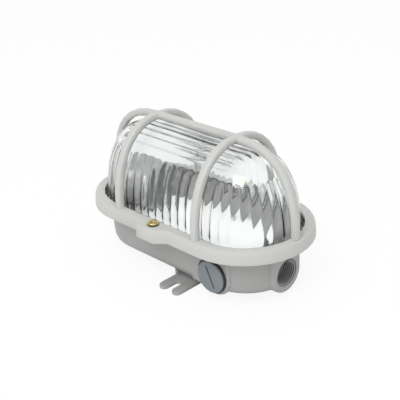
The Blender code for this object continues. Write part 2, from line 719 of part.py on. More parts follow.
def base_housing():
    draft = BASE_DRAFT
    corner = FOOT_HEIGHT + CORNER_HEIGHT
    wall = BASE_WALL
    flange_inset = GUARD_WALL + SKIRT_CLEARANCE
    levels = [oval(BASE_LENGTH, BASE_WIDTH, BASE_FLOOR, grow=-wall - CORNER_INSET / 2)]
    levels.append(oval(BASE_LENGTH, BASE_WIDTH, BASE_FLOOR + CORNER_HEIGHT / 3, grow=-wall))
    levels.append(oval(BASE_LENGTH, BASE_WIDTH, FLANGE_TOP, grow=draft - wall))
    levels.append(oval(GUARD_LENGTH, GUARD_WIDTH, FLANGE_TOP, flange_inset, -flange_inset))
    levels.append(oval(GUARD_LENGTH, GUARD_WIDTH, FLANGE_BOTTOM, flange_inset, -flange_inset))
    levels.append(oval(BASE_LENGTH, BASE_WIDTH, FLANGE_BOTTOM, grow=draft))
    for angle in (0, 25, 50, 72, 90):
        inset = CORNER_INSET * (1 - math.cos(math.radians(angle)))
        height = corner - CORNER_HEIGHT * math.sin(math.radians(angle))
        levels.append(oval(BASE_LENGTH, BASE_WIDTH, height, grow=-inset))
    base = link("base_housing", loft_mesh("base_housing", levels), base_plastic)

    end_face = BASE_LENGTH / 2 + END_BOSS_PROUD
    bores = []
    for name, mouth, axis, lip in (
        ("end_boss", (end_face, 0, ENTRY_HEIGHT), (1, 0, 0), 0.0),
        ("side_boss", (ENTRY_SIDE_X, SIDE_SEAT_Y, ENTRY_HEIGHT), (0, -1, 0), SIDE_SEAT_LIP),
    ):
        boss, cutters = entry_boss(name, mouth, axis, lip)
        join(base, boss)
        bores += cutters
    start = (ENTRY_SIDE_X, SIDE_SEAT_Y, ENTRY_HEIGHT)
    radius = PLUG_SEAL_RADIUS + SIDE_SEAT_MARGIN
    seat = rod_mesh("seat", radius, start, (0, -1, 0), GUARD_WALL * 2, SEAT_STEPS)
    bores.append(helper("side_seat", seat))
    boss_edge = ENTRY_SIDE_X - ENTRY_BOSS_RADIUS
    step = SEAT_GAP
    low = (boss_edge - CHEEK_REACH, -BASE_WIDTH / 2 + step, FOOT_HEIGHT + step)
    high = (boss_edge + CHEEK_REACH, -BASE_WIDTH / 2 + BASE_WALL + 2 * step, corner - 4 * step)
    join(base, helper("cheek", box_mesh("cheek", low, high)))
    for side in (-1, 1):
        foot = (0, side * GUARD_SCREW_Y, FLANGE_TOP - INSERT_LENGTH - SEAT_GAP)
        radius = INSERT_RADIUS + THREAD_GAP + INSERT_BOSS_WALL
        height = FLANGE_TOP - BASE_FLANGE / 2 - foot[2]
        join(base, helper(f"boss_{side}", rod_mesh("boss", radius, foot, (0, 0, 1), height, 20)))
        drill = rod_mesh("drill", INSERT_RADIUS + THREAD_GAP, foot, (0, 0, 1), 3 * height, 20)
        drill.transform(Matrix.Translation((0, 0, -height)))
        bores.append(helper(f"insert_drill_{side}", drill))
        fork(base, side)
        pad = rod_mesh("pad", PAD_RADIUS, (side * PAD_X, 0, 0), (0, 0, 1), FOOT_HEIGHT + wall / 2, 20)
        join(base, helper(f"pad_{side}", pad))
    posts = [(BRACKET_EAR_X, -BRACKET_POST_Y, POST_HEIGHT), (BRACKET_EAR_X, BRACKET_POST_Y, POST_HEIGHT)]
    posts.append((EARTH_X, EARTH_Y, EARTH_POST_HEIGHT))
    for side in (-1, 1):
        height = REFLECTOR_HEIGHT - SEAT_GAP - BASE_FLOOR
        posts.append((REFLECTOR_POST_X, side * REFLECTOR_POST_Y, height))
    for number, (x, y, height) in enumerate(posts):
        start = (x, y, BASE_FLOOR - wall / 2)
        post = rod_mesh("post", POST_RADIUS, start, (0, 0, 1), height + wall / 2, 16)
        join(base, helper(f"post_{number}", post))
        top = (x, y, BASE_FLOOR + height + 1 * MM)
        drill = rod_mesh(
            "drill",
            SMALL_SCREW_RADIUS + THREAD_GAP,
            top,
            (0, 0, -1),
            SMALL_SCREW_LENGTH,
            SMALL_STEPS,
        )
        bores.append(helper(f"post_drill_{number}", drill))
    for tool in bores:
        cut(base, tool)


def slotted_screw(name, head, head_height, shank, length, place, axis, finish, slot_turn=0.0):
    """A cheese-headed screw. Its origin is under the head, on its axis, which points to the head."""
    edge = head_height * 0.2
    profile = [
        (0, head_height),
        (head - edge, head_height),
        (head, head_height - edge),
        (head, 0),
        (shank, 0),
        (shank, -length + shank / 2),
        (shank / 2, -length),
        (0, -length),
    ]
    screw = turned(name, profile, finish, steps=SMALL_STEPS if head < 3 * MM else 20)
    slot = box_mesh(
        name + "_slot",
        (-2 * head, -SLOT_WIDTH / 2, head_height - SLOT_DEPTH),
        (2 * head, SLOT_WIDTH / 2, head_height + SLOT_DEPTH),
    )
    slot.transform(Matrix.Rotation(slot_turn, 4, "Z"))
    tool = helper(name + "_slot", slot)
    tool.parent = screw
    cut(screw, tool)
    screw.location = place
    screw.rotation_euler = along(axis).to_euler()
    return screw


def guard_fixings():
    """At each ear: the screw, the seal under its head and the insert in the base."""
    for name, side in (("front", -1), ("rear", 1)):
        y = side * GUARD_SCREW_Y
        seal_bottom = RIM_TOP - SCREW_RECESS_DEPTH + SEAT_GAP / 2
        seal_top = seal_bottom + SCREW_SEAL_THICKNESS
        outer = GUARD_SCREW_HEAD
        inner = GUARD_SCREW_RADIUS + THREAD_GAP
        half = SCREW_SEAL_THICKNESS / 2
        ring = [(outer, half), (outer, -half), (inner, -half), (inner, half)]
        seal = turned(f"screw_seal_{name}", ring, black_rubber, steps=20, closed=True)
        seal.location = (0, y, seal_bottom + half)
        head_bottom = seal_top + SEAT_GAP / 2
        insert_bottom = FLANGE_TOP - INSERT_LENGTH
        slotted_screw(
            f"guard_screw_{name}",
            GUARD_SCREW_HEAD,
            GUARD_SCREW_HEAD_HEIGHT,
            GUARD_SCREW_RADIUS,
            head_bottom - insert_bottom,
            (0, y, head_bottom),
            (0, 0, 1),
            brass,
            math.radians(35.0),
        )
        half = (INSERT_LENGTH - SEAT_GAP) / 2
        ring = [(INSERT_RADIUS, half), (INSERT_RADIUS, -half), (inner, -half), (inner, half)]
        insert = turned(f"thread_insert_{name}", ring, brass, steps=20, closed=True)
        insert.location = (0, y, insert_bottom + half)


def entry_plug():
    """The slotted plug in the side entry and the seal under its head."""
    seal_middle = SIDE_SEAT_Y - SEAT_GAP / 2 - PLUG_SEAL_THICKNESS / 2
    half = PLUG_SEAL_THICKNESS / 2
    inner = ENTRY_BORE_RADIUS + ENTRY_MOUTH_CHAMFER
    ring = [(PLUG_SEAL_RADIUS, half), (PLUG_SEAL_RADIUS, -half), (inner, -half), (inner, half)]
    seal = turned("plug_seal", ring, black_rubber, closed=True)
    seal.location = (ENTRY_SIDE_X, seal_middle, ENTRY_HEIGHT)
    seal.rotation_euler = (math.pi / 2, 0, 0)

    shank = ENTRY_BORE_RADIUS - THREAD_GAP
    edge = 0.3 * MM
    hollow = shank - PLUG_SHANK_WALL
    length = PLUG_SHANK_LENGTH + PLUG_SEAL_THICKNESS
    profile = [
        (0, PLUG_HEAD_THICKNESS),
        (PLUG_HEAD_RADIUS - edge, PLUG_HEAD_THICKNESS),
        (PLUG_HEAD_RADIUS, PLUG_HEAD_THICKNESS - edge),
        (PLUG_HEAD_RADIUS, 0),
        (shank, 0),
        (shank, -length),
        (hollow, -length),
        (hollow, -PLUG_FLOOR),
        (0, -PLUG_FLOOR),
    ]
    plug = turned("entry_plug", profile, plug_plastic)
    slot = box_mesh(
        "plug_slot",
        (-PLUG_SLOT_WIDTH / 2, -PLUG_SLOT_LENGTH / 2, PLUG_HEAD_THICKNESS - PLUG_SLOT_DEPTH),
        (PLUG_SLOT_WIDTH / 2, PLUG_SLOT_LENGTH / 2, PLUG_HEAD_THICKNESS + PLUG_SLOT_DEPTH),
    )
    slot.transform(Matrix.Rotation(PLUG_SLOT_TILT, 4, "Z"))
    tool = helper("plug_slot", slot)
    tool.parent = plug
    cut(plug, tool)
    plug.location = (ENTRY_SIDE_X, seal_middle - half - SEAT_GAP / 2, ENTRY_HEIGHT)
    plug.rotation_euler = (math.pi / 2, 0, 0)


def holder_point(x, y, z):
    """A point given from the lampholder's back, along its axis and across it."""
    return (HOLDER_BACK + x, y, HOLDER_HEIGHT + z)


def lampholder_body():
    length, edge = HOLDER_LENGTH, HOLDER_EDGE
    profile = [
        (0, SOCKET_FLOOR),
        (SOCKET_RADIUS, SOCKET_FLOOR),
        (SOCKET_RADIUS, length - edge),
        (SOCKET_RADIUS + edge / 2, length),
        (HOLDER_BARREL_RADIUS - edge, length),
        (HOLDER_BARREL_RADIUS, length - edge),
        (HOLDER_BARREL_RADIUS, HOLDER_BACK_LENGTH + edge),
        (HOLDER_BACK_RADIUS, HOLDER_BACK_LENGTH),
        (HOLDER_BACK_RADIUS, edge),
        (HOLDER_BACK_RADIUS - edge, 0),
        (0, 0),
    ]
    body = turned("holder_body", profile, porcelain)
    body.location = (HOLDER_BACK, 0, HOLDER_HEIGHT)
    body.rotation_euler = (0, math.pi / 2, 0)

    half_leaf = LEAF_WIDTH / 2 + THREAD_GAP
    tools = [
        box_mesh(
            "well",
            holder_point(SOCKET_FLOOR - WELL_DEPTH, -half_leaf, -WELL_LENGTH / 2),
            holder_point(SOCKET_FLOOR + 1 * MM, half_leaf, WELL_LENGTH / 2),
        )
    ]
    for side in (-1, 1):
        middle = terminal_middle()
        gap = THREAD_GAP
        low = holder_point(
            middle - TERMINAL_X / 2 - gap, side * (TERMINAL_INNER - gap), -TERMINAL_Z / 2 - gap
        )
        high = holder_point(
            middle + TERMINAL_X / 2 + gap, side * (HOLDER_BACK_RADIUS + 2 * MM), TERMINAL_Z / 2 + gap
        )
        low, high = (
            tuple(map(min, low, high)),
            tuple(map(max, low, high)),
        )
        tools.append(box_mesh("pocket", low, high))
        start = holder_point(-1 * MM, 0, side * HOLDER_SCREW_SPACING / 2)
        tools.append(
            rod_mesh(
                "screw_hole",
                SMALL_SCREW_RADIUS + THREAD_GAP,
                start,
                (1, 0, 0),
                HOLDER_SCREW_DEPTH + 1 * MM,
                SMALL_STEPS,
            )
        )
    for number, mesh in enumerate(tools):
        cut(body, helper(f"holder_tool_{number}", mesh))


def terminal_middle():
    """How far the terminals' middle lies from the lampholder's back."""
    return SOCKET_FLOOR / 2


def holder_shell():
    outer = SOCKET_RADIUS - SHELL_GAP
    inner = outer - SHELL_THICKNESS
    start = SOCKET_FLOOR + SEAT_GAP * 2 + SIDE_CONTACT_THICKNESS
    end = HOLDER_LENGTH - SHELL_SETBACK
    ring = [(outer, end), (outer, start), (inner, start), (inner, end)]
    shell = turned("holder_shell", ring, plated_steel, closed=True)
    shell.location = (HOLDER_BACK, 0, HOLDER_HEIGHT)
    shell.rotation_euler = (0, math.pi / 2, 0)


def strip_mesh(name, path, half_width, thickness):
    """A bent strip: an open band along a path of (x, z) points, thickened both ways."""
    shape = bmesh.new()
    rows = []
    for x, z in path:
        rows.append([shape.verts.new((x, side * half_width, z)) for side in (-1, 1)])
    for low, high in zip(rows, rows[1:]):
        shape.faces.new((low[0], low[1], high[1], high[0]))
    bmesh.ops.recalc_face_normals(shape, faces=shape.faces)
    bmesh.ops.solidify(shape, geom=shape.faces[:], thickness=thickness)
    return mesh_of(name, shape)


def contacts():
    """The sprung leaf in the middle of the socket and the strip that feeds the shell."""
    rest = SOCKET_FLOOR - WELL_DEPTH + CONTACT_TRAVEL + THREAD_GAP + LEAF_THICKNESS
    tip = rest + LEAF_RISE
    reach = WELL_LENGTH / 2 - THREAD_GAP
    path = [(rest, -reach), (rest, -reach + 3 * MM), (tip, -1.5 * MM), (tip, 1.5 * MM)]
    path += [(tip - 1.5 * MM, 3.5 * MM)]
    mesh = strip_mesh("centre_contact", path, LEAF_WIDTH / 2, LEAF_THICKNESS)
    leaf = link("centre_contact", mesh, plated_steel)
    leaf.location = (HOLDER_BACK, 0, HOLDER_HEIGHT)

    outer = SOCKET_RADIUS - SHELL_GAP
    start = SOCKET_FLOOR + SEAT_GAP
    low = holder_point(start, -LEAF_WIDTH / 2, -outer + 0.6 * MM)
    high = holder_point(
        start + SIDE_CONTACT_THICKNESS, LEAF_WIDTH / 2, -outer + SIDE_CONTACT_HEIGHT
    )
    link("side_contact", box_mesh("side_contact", low, high), plated_steel)


def terminals():
    """A plated block in each side of the lampholder, with its clamping screw and wire hole."""
    for name, side in (("live", -1), ("neutral", 1)):
        middle = terminal_middle()
        outer = TERMINAL_INNER + TERMINAL_Y
        ends = sorted((side * TERMINAL_INNER, side * outer))
        low = holder_point(middle - TERMINAL_X / 2, ends[0], -TERMINAL_Z / 2)
        high = holder_point(middle + TERMINAL_X / 2, ends[1], TERMINAL_Z / 2)
        block = link(f"terminal_{name}", box_mesh("terminal", low, high), plated_steel)
        wire = holder_point(middle, side * (TERMINAL_INNER + TERMINAL_Y / 3), -TERMINAL_Z)
        through = rod_mesh("wire", WIRE_HOLE_RADIUS, wire, (0, 0, 1), 2 * TERMINAL_Z, SMALL_STEPS)
        cut(block, helper(f"wire_hole_{name}", through))
        face = holder_point(middle, side * (outer + 1 * MM), 0)
        depth = TERMINAL_SCREW_LENGTH + 1 * MM
        hole = SMALL_SCREW_RADIUS + THREAD_GAP
        drill = rod_mesh("hole", hole, face, (0, -side, 0), depth, SMALL_STEPS)
        cut(block, helper(f"screw_hole_{name}", drill))
        slotted_screw(
            f"terminal_screw_{name}",
            SMALL_SCREW_HEAD - THREAD_GAP,
            SMALL_SCREW_HEAD_HEIGHT,
            SMALL_SCREW_RADIUS,
            TERMINAL_SCREW_LENGTH - THREAD_GAP,
            holder_point(middle, side * (outer + SEAT_GAP), 0),
            (0, side, 0),
            plated_steel,
        )


def holder_bracket():
    """A bent sheet: an upright behind the lampholder, a foot under it and an ear each side."""
    upright = HOLDER_BACK - SEAT_GAP - BRACKET_THICKNESS / 2
    foot = BRACKET_TOP - BRACKET_THICKNESS / 2
    top = HOLDER_HEIGHT + HOLDER_SCREW_SPACING / 2 + 4 * MM
    bend = arc((upright + BRACKET_BEND, foot + BRACKET_BEND), BRACKET_BEND, 180, 270, 3)
    ear_back = BRACKET_EAR_X - BRACKET_EAR_HALF_WIDTH
    ear_front = BRACKET_EAR_X + BRACKET_EAR_HALF_WIDTH
    end = upright + BRACKET_FOOT_LENGTH
    path = [(upright, top)] + bend + [(ear_back, foot), (ear_front, foot)]
    if end > ear_front:
        path.append((end, foot))
    lines = (-BRACKET_EAR_HALF_SPAN, -BRACKET_HALF_WIDTH, BRACKET_HALF_WIDTH, BRACKET_EAR_HALF_SPAN)
    shape = bmesh.new()
    rows = [[shape.verts.new((x, y, z)) for y in lines] for x, z in path]
    for number, (low, high) in enumerate(zip(rows, rows[1:])):
        on_ears = path[number][0] == ear_back
        for column in range(3) if on_ears else (1,):
            shape.faces.new((low[column], low[column + 1], high[column + 1], high[column]))
    loose = [vert for vert in shape.verts if not vert.link_faces]
    bmesh.ops.delete(shape, geom=loose, context="VERTS")
    mesh = mesh_of("holder_bracket", shape)
    bracket = link("holder_bracket", mesh, plated_steel)
    wall = bracket.modifiers.new("sheet", "SOLIDIFY")
    wall.thickness = BRACKET_THICKNESS
    wall.offset = 0.0
    hole = SMALL_SCREW_RADIUS + THREAD_GAP
    for side in (-1, 1):
        start = (BRACKET_EAR_X, side * BRACKET_POST_Y, foot - 2 * BRACKET_THICKNESS)
        depth = 4 * BRACKET_THICKNESS
        drill = rod_mesh("hole", hole, start, (0, 0, 1), depth, SMALL_STEPS)
        cut(bracket, helper(f"ear_hole_{side}", drill))
        height = HOLDER_HEIGHT + side * HOLDER_SCREW_SPACING / 2
        start = (upright - 2 * BRACKET_THICKNESS, 0, height)
        drill = rod_mesh("hole", hole, start, (1, 0, 0), depth, SMALL_STEPS)
        cut(bracket, helper(f"upright_hole_{side}", drill))


def inner_screws():
    """The screws that hold the bracket to its posts and the lampholder to the bracket."""
    sheet_top = BRACKET_TOP
    sheet_back = HOLDER_BACK - SEAT_GAP - BRACKET_THICKNESS
    sizes = (SMALL_SCREW_HEAD, SMALL_SCREW_HEAD_HEIGHT, SMALL_SCREW_RADIUS)
    for name, side in (("front", -1), ("rear", 1)):
        place = (BRACKET_EAR_X, side * BRACKET_POST_Y, sheet_top + SEAT_GAP)
        slotted_screw(
            f"bracket_screw_{name}", *sizes, SMALL_SCREW_LENGTH, place, (0, 0, 1), plated_steel
        )
    for name, side in (("lower", -1), ("upper", 1)):
        height = HOLDER_HEIGHT + side * HOLDER_SCREW_SPACING / 2
        place = (sheet_back - SEAT_GAP, 0, height)
        length = HOLDER_SCREW_DEPTH + BRACKET_THICKNESS + SEAT_GAP
        slotted_screw(f"holder_screw_{name}", *sizes, length, place, (-1, 0, 0), plated_steel)


def reflector():
    """The squarish oval plate, with a notch round the lampholder and clear of the side entry."""
    outline = []
    bend = 2 / REFLECTOR_SQUARENESS
    for x, y in arc((0, 0), 1.0, 0, 360, 2 * ROUND_STEPS)[:-1]:
        x = math.copysign(abs(x) ** bend * REFLECTOR_HALF_LENGTH, x)
        y = math.copysign(abs(y) ** bend * REFLECTOR_HALF_WIDTH, y)
        outline.append((x, y))
    low = REFLECTOR_HEIGHT
    high = REFLECTOR_HEIGHT + REFLECTOR_THICKNESS
    plate = link("reflector", plate_mesh("reflector", outline, low, high), white_enamel)
    below_axis = HOLDER_HEIGHT - high
    half_chord = math.sqrt(HOLDER_BACK_RADIUS**2 - min(below_axis, HOLDER_BACK_RADIUS) ** 2)
    half_notch = half_chord + REFLECTOR_NOTCH_GAP
    notch_end = HOLDER_BACK + HOLDER_LENGTH + REFLECTOR_NOTCH_GAP
    notch = box_mesh(
        "notch",
        (-REFLECTOR_HALF_LENGTH - 1 * MM, -half_notch, low - REFLECTOR_THICKNESS),
        (notch_end, half_notch, high + REFLECTOR_THICKNESS),
    )
    cut(plate, helper("reflector_notch", notch))
    margin = 2 * SEAT_GAP
    radius = ENTRY_BOSS_RADIUS - ENTRY_TUBE_STEP + margin
    depth = ENTRY_BOSS_DEPTH + margin
    start = (ENTRY_SIDE_X, SIDE_SEAT_Y, ENTRY_HEIGHT)
    room = rod_mesh("room", radius, start, (0, 1, 0), depth)
    cut(plate, helper("reflector_room", room))
    hole = SMALL_SCREW_RADIUS + THREAD_GAP
    for name, side in (("front", -1), ("rear", 1)):
        x, y = REFLECTOR_POST_X, side * REFLECTOR_POST_Y
        start = (x, y, low - 2 * REFLECTOR_THICKNESS)
        drill = rod_mesh("hole", hole, start, (0, 0, 1), 5 * REFLECTOR_THICKNESS, SMALL_STEPS)
        cut(plate, helper(f"reflector_hole_{name}", drill))
        slotted_screw(
            f"reflector_screw_{name}",
            SMALL_SCREW_HEAD,
            SMALL_SCREW_HEAD_HEIGHT,
            SMALL_SCREW_RADIUS,
            SMALL_SCREW_LENGTH - 1 * MM,
            (x, y, high + SEAT_GAP),
            (0, 0, 1),
            plated_steel,
        )


def earth_terminal():
    low_z = BASE_FLOOR + EARTH_POST_HEIGHT + SEAT_GAP
    top_z = low_z + EARTH_PLATE_THICKNESS
    low = (EARTH_X - EARTH_PLATE / 2, EARTH_Y - EARTH_PLATE / 2, low_z)
    high = (EARTH_X + EARTH_PLATE / 2, EARTH_Y + EARTH_PLATE / 2, top_z)
    plate = link("earth_plate", box_mesh("earth_plate", low, high), brass)
    start = (EARTH_X, EARTH_Y, low_z - EARTH_PLATE_THICKNESS)
    hole = SMALL_SCREW_RADIUS + THREAD_GAP
    drill = rod_mesh("hole", hole, start, (0, 0, 1), 3 * EARTH_PLATE_THICKNESS, SMALL_STEPS)
    cut(plate, helper("earth_hole", drill))
    slotted_screw(
        "earth_screw",
        SMALL_SCREW_HEAD,
        SMALL_SCREW_HEAD_HEIGHT,
        SMALL_SCREW_RADIUS,
        SMALL_SCREW_LENGTH - 1 * MM,
        (EARTH_X, EARTH_Y, top_z + SEAT_GAP),
        (0, 0, 1),
        brass,
    )


base_housing()
guard_cage()
glass_globe()
globe_gasket()
guard_fixings()
entry_plug()
lampholder_body()
holder_shell()
contacts()
terminals()
holder_bracket()
inner_screws()
reflector()
earth_terminal()
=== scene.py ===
# %% [markdown]
# # An oval bulkhead light
#
# This lesson dresses the bare model of a small outdoor light: a moulded base, a pressed glass with
# ribs inside, and a barred guard that two brass screws hold down. The model is already there, at
# its real size in metres. Blender adds the round edges, the fine glass, the thread of the open
# entry and the finishes.

# %% Load the model
import json
import math

import bpy
from mathutils import Matrix, Vector


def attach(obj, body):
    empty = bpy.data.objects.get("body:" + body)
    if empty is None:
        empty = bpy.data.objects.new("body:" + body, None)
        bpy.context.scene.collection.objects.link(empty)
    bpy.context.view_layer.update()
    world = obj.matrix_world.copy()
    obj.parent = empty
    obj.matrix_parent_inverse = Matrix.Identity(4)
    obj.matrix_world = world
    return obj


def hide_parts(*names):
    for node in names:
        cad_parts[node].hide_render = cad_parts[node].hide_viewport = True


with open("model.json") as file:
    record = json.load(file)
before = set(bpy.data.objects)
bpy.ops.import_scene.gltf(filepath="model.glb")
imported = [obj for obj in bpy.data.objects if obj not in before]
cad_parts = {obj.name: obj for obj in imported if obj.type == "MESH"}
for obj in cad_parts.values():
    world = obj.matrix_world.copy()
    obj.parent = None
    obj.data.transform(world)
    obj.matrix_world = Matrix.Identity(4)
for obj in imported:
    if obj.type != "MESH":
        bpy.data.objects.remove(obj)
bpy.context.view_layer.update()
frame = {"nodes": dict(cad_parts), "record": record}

MM = 0.001
bpy.ops.object.select_all(action="DESELECT")

# %% [markdown]
# ## The camera
#
# The photograph looks down on the front corner. The camera stands 46 degrees round from the front
# and 25.5 degrees up, a little over half a metre away, and leans 3 degrees to one side. These
# numbers come from the places of the rim, the bars and the feet in the picture.

# %% Place the camera
AROUND = math.radians(46.055)
ABOVE = math.radians(25.498)
LEAN = 0.052
DISTANCE = 552.1 * MM
AIM = Vector((0, 0, 36.0 * MM))
ASIDE = 0.27 * MM
HIGHER = 8.81 * MM
LENS = 72.43

backwards = Vector((
    math.sin(AROUND) * math.cos(ABOVE),
    -math.cos(AROUND) * math.cos(ABOVE),
    math.sin(ABOVE),
))
level = Vector((math.cos(AROUND), math.sin(AROUND), 0))
upwards = backwards.cross(level)
eye = AIM + level * ASIDE + upwards * HIGHER + backwards * DISTANCE
side = level * math.cos(LEAN) - upwards * math.sin(LEAN)
top = level * math.sin(LEAN) + upwards * math.cos(LEAN)

bpy.ops.object.camera_add(location=eye)
camera = bpy.context.object
camera.name = "photo_camera"
camera.data.lens = LENS
camera.data.sensor_width = 36.0
camera.data.clip_start = 0.01
camera.data.clip_end = 20.0
turn = Matrix((side, top, backwards)).transposed().to_4x4()
camera.matrix_world = Matrix.Translation(eye) @ turn
bpy.context.scene.camera = camera
print("The camera stands at", eye)

# %% [markdown]
# ## Maths on shader sockets
#
# A finish is a recipe of small sums. Writing them as Python sums is easier to read than a list of
# nodes, so one class wraps a socket and turns +, - and * into Math nodes. A second class wraps a
# node, and a third one holds a material and adds any node to it.

# %% Wrap sockets so that Python sums make nodes
class Wire:
    """A number that a node gives, which can be used in sums."""

    def __init__(self, finish, socket):
        self.finish = finish
        self.socket = socket

    def sum(self, operation, other):
        made = self.finish.node("ShaderNodeMath", {0: self, 1: other}, operation=operation)
        return made.out(0)

    def __add__(self, other):
        return self.sum("ADD", other)

    def __radd__(self, other):
        return self.sum("ADD", other)

    def __sub__(self, other):
        return self.sum("SUBTRACT", other)

    def __rsub__(self, other):
        return (self * -1.0) + other

    def __mul__(self, other):
        return self.sum("MULTIPLY", other)

    def __rmul__(self, other):
        return self.sum("MULTIPLY", other)

    def above(self, other):
        return self.sum("GREATER_THAN", other)

    def most(self, other):
        return self.sum("MAXIMUM", other)

    def power(self, other):
        return self.sum("POWER", other)

    def ramp(self, low, high):
        """0 below low, 1 above high and smooth between."""
        values = {"Value": self, "From Min": low, "From Max": high}
        made = self.finish.node("ShaderNodeMapRange", values, interpolation_type="SMOOTHSTEP")
        return made.out("Result")


# %% Wrap nodes and materials
class Node:
    """A node of a finish. Its outputs come as wires."""

    def __init__(self, finish, made):
        self.finish = finish
        self.made = made

    def out(self, name):
        return Wire(self.finish, self.made.outputs[name])


class Finish:
    """A material, with one method that adds any node and a few for the nodes used most."""

    def __init__(self, name):
        self.material = bpy.data.materials.new(name)
        self.material.use_nodes = True
        self.tree = self.material.node_tree
        self.shader = self.tree.nodes["Principled BSDF"]
        self.output = self.tree.nodes["Material Output"]

    def node(self, kind, values=None, **settings):
        made = self.tree.nodes.new(kind)
        for name, value in settings.items():
            setattr(made, name, value)
        for name, value in (values or {}).items():
            self.feed(made.inputs[name], value)
        return Node(self, made)

    def feed(self, socket, value):
        if isinstance(value, Wire):
            self.tree.links.new(value.socket, socket)
        elif value is not None:
            socket.default_value = value

    def set(self, **values):
        """Sets or feeds the shader's own sockets, with _ for a space in their names."""
        for name, value in values.items():
            self.feed(self.shader.inputs[name.replace("_", " ")], value)

    def spot(self):
        """The place on the object, in metres."""
        return self.node("ShaderNodeTexCoord").out("Object")

    def parts(self, spot):
        """A place's x, y and z."""
        made = self.node("ShaderNodeSeparateXYZ", {"Vector": spot})
        return made.out("X"), made.out("Y"), made.out("Z")

    def noise(self, spot, scale, detail=3.0, roughness=0.5):
        values = {"Vector": spot, "Scale": scale, "Detail": detail, "Roughness": roughness}
        return self.node("ShaderNodeTexNoise", values).out("Fac")

    def mix(self, share, first, second):
        """One colour turning into another as share goes from 0 to 1."""
        made = self.node("ShaderNodeMix", data_type="RGBA")
        for socket, value in ((0, share), (6, first), (7, second)):
            if isinstance(value, tuple):
                value = (*value, 1.0)
            self.feed(made.made.inputs[socket], value)
        return made.out(2)

    def bump(self, height, distance):
        values = {"Height": height, "Distance": distance, "Strength": 1.0}
        return self.node("ShaderNodeBump", values).out("Normal")

    def blend(self, share, kind, values):
        """Shows another kind of shader instead of the finish's own where share is 1."""
        other = self.node(kind, values)
        mixed = self.node("ShaderNodeMixShader", {0: share})
        self.tree.links.new(self.shader.outputs[0], mixed.made.inputs[1])
        self.tree.links.new(other.made.outputs[0], mixed.made.inputs[2])
        self.tree.links.new(mixed.made.outputs[0], self.output.inputs[0])


print("Sums now make nodes")

# %% [markdown]
# ## Moulded plastic
#
# The guard, the base and the plug are mouldings. A mould leaves a fine even grain, and the colour
# drifts a little where the plastic cooled at another speed. Two noises give that: a fine one for
# the grain, which also breaks the gloss, and a broad one for the drift.

# %% Say what a moulded plastic is
# The colour that painted shade turns the plastic to.
PAINTED_SHADE_BLACK = (0.03, 0.03, 0.03)
PLASTIC_GRAIN = 0.03 * MM


def moulded(name, colour, darker, roughness, shade=None):
    """A moulded plastic. shade(x, y, z) says where shade is painted on as nearly black, as 0 to 1.
    """
    finish = Finish(name)
    spot = finish.spot()
    broad = finish.noise(spot, scale=22.0, detail=2.0)
    fine = finish.noise(spot, scale=2600.0, detail=4.0, roughness=0.6)
    tone = finish.mix(broad, colour, darker)
    if shade:
        # Painted shade: the colour turns nearly black where shade says.
        tone = finish.mix(shade(*finish.parts(spot)), tone, PAINTED_SHADE_BLACK)
    finish.set(
        Base_Color=tone,
        Roughness=fine * 0.16 + (roughness - 0.08),
        Normal=finish.bump(fine, PLASTIC_GRAIN),
        IOR=1.5,
    )
    return finish.material


# %% Make the guard's and the plug's plastic
guard_finish = moulded("guard_plastic", (0.525, 0.53, 0.51), (0.495, 0.50, 0.48), 0.42)
plug_finish = moulded("plug_plastic", (0.20, 0.22, 0.235), (0.175, 0.193, 0.206), 0.36)
print("Made", guard_finish.name, "and", plug_finish.name)

# %% [markdown]
# ## Painted shade on the base
#
# Shade is painted into the base's colour where little light gets to: along its lower edge, under
# its flange and between the turns of a thread. Soft light alone shows that shade too faintly on so
# small a thing. So the painted shade is placed by distances: to the underside, to the flange,
# and to the axes of the two round bosses, where the lower edge has to stop.

# %% Find the painted shade from distances
BASE_UNDERSIDE = 7.4 * MM
BASE_FLANGE = 34.9 * MM
EDGE_SHADE = 1.9 * MM
FLANGE_SHADE = 7.0 * MM
FEET_MARGIN = 0.5 * MM
ENTRY_HEIGHT = 17.4 * MM
SIDE_ENTRY_X = 42.5 * MM
BOSS_RADIUS = 14.2 * MM
BORE_RADIUS = 9.3 * MM
THREAD_HEIGHT = 1.1 * MM


def painted_base_shade(x, y, z):
    """Painted shade on the base's lower edge, beside the bosses and feet, and under its flange."""
    up = z - ENTRY_HEIGHT
    along = x - SIDE_ENTRY_X
    beside_end = (y * y + up * up).above(BOSS_RADIUS**2)
    beside_side = (along * along + up * up).above(BOSS_RADIUS**2)
    above_feet = z.above(BASE_UNDERSIDE - FEET_MARGIN)
    edge = 1.0 - z.ramp(BASE_UNDERSIDE, BASE_UNDERSIDE + EDGE_SHADE)
    flange = z.ramp(BASE_FLANGE - FLANGE_SHADE, BASE_FLANGE)
    # Painted shade along the lower edge and under the flange, as darker colour.
    return edge * above_feet * beside_end * beside_side * 0.85 + flange * 0.22


def painted_thread_shade(x, y, z):
    """Painted shade between the turns of the entry's thread."""
    up = z - ENTRY_HEIGHT
    radius = (y * y + up * up).power(0.5)
    # Painted shade: darker towards the thread's roots at the bore's wall.
    return radius.ramp(BORE_RADIUS - 0.9 * THREAD_HEIGHT, BORE_RADIUS - 0.1 * THREAD_HEIGHT)


# %% Make the base's plastic
base_greys = (0.365, 0.365, 0.36), (0.335, 0.335, 0.33)
# The base and its thread get painted shade in their colour.
shaded_base_finish = moulded("base_plastic", *base_greys, 0.42, shade=painted_base_shade)
shaded_thread_finish = moulded("thread_plastic", *base_greys, 0.42, shade=painted_thread_shade)
print("Made", shaded_base_finish.name, "and", shaded_thread_finish.name)

